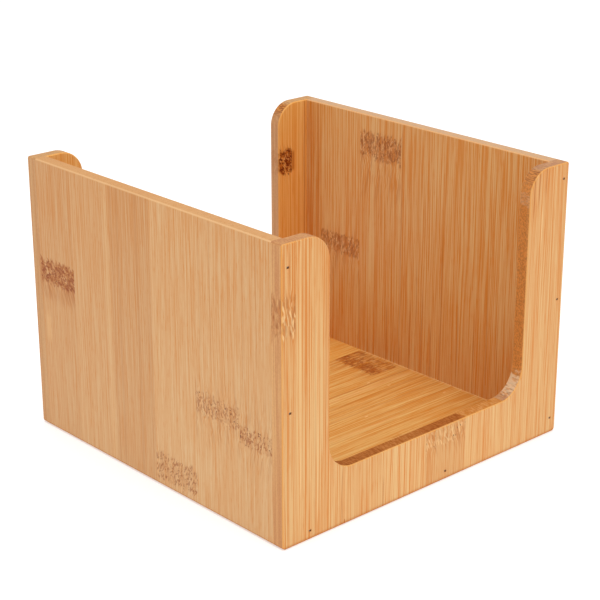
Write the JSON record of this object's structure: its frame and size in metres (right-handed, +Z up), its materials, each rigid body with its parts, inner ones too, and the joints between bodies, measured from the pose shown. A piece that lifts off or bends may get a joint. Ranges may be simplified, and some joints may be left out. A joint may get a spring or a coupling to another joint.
{
  "type": "napkin holder",
  "caption": "Square open-topped bamboo napkin box: solid side walls, and end panels with deep U-shaped cut-outs to lift the napkins through.",
  "frame": {"origin": "middle of the underside, where the box stands", "axes": "+Z up; -Y towards the front end panel, the one whose brads the picture shows; +X to its right, seen from the front"},
  "size_m": [0.19, 0.19, 0.145],
  "materials": {
    "bamboo_front": "sanded flat-pressed bamboo laths, thin satin oil, open grain",
    "bamboo_back": "sanded flat-pressed bamboo laths, thin satin oil, open grain",
    "bamboo_left": "sanded flat-pressed bamboo laths, thin satin oil, open grain",
    "bamboo_right": "sanded flat-pressed bamboo laths, thin satin oil, open grain",
    "bamboo_base": "sanded flat-pressed bamboo laths, thin satin oil, open grain",
    "brad_wire": "dulled steel wire, sunk below the face"
  },
  "bodies": {
    "root": {"back_brads_base": "brad_wire", "back_brads_left": "brad_wire", "back_brads_right": "brad_wire", "back_panel_lath_1": "bamboo_back", "back_panel_lath_2": "bamboo_back", "back_panel_lath_3": "bamboo_back", "back_panel_lath_4": "bamboo_back", "back_panel_lath_5": "bamboo_back", "back_panel_lath_6": "bamboo_back", "back_panel_lath_7": "bamboo_back", "base_lath_1": "bamboo_base", "base_lath_2": "bamboo_base", "base_lath_3": "bamboo_base", "base_lath_4": "bamboo_base", "base_lath_5": "bamboo_base", "base_lath_6": "bamboo_base", "base_lath_7": "bamboo_base", "front_brads_base": "brad_wire", "front_brads_left": "brad_wire", "front_brads_right": "brad_wire", "front_panel_lath_1": "bamboo_front", "front_panel_lath_2": "bamboo_front", "front_panel_lath_3": "bamboo_front", "front_panel_lath_4": "bamboo_front", "front_panel_lath_5": "bamboo_front", "front_panel_lath_6": "bamboo_front", "front_panel_lath_7": "bamboo_front", "front_panel_lath_8": "bamboo_front", "left_wall_lath_1": "bamboo_left", "left_wall_lath_2": "bamboo_left", "left_wall_lath_3": "bamboo_left", "left_wall_lath_4": "bamboo_left", "left_wall_lath_5": "bamboo_left", "left_wall_lath_6": "bamboo_left", "right_wall_lath_1": "bamboo_right", "right_wall_lath_2": "bamboo_right", "right_wall_lath_3": "bamboo_right", "right_wall_lath_4": "bamboo_right", "right_wall_lath_5": "bamboo_right", "right_wall_lath_6": "bamboo_right", "right_wall_lath_7": "bamboo_right"}
  },
  "joints": []
}
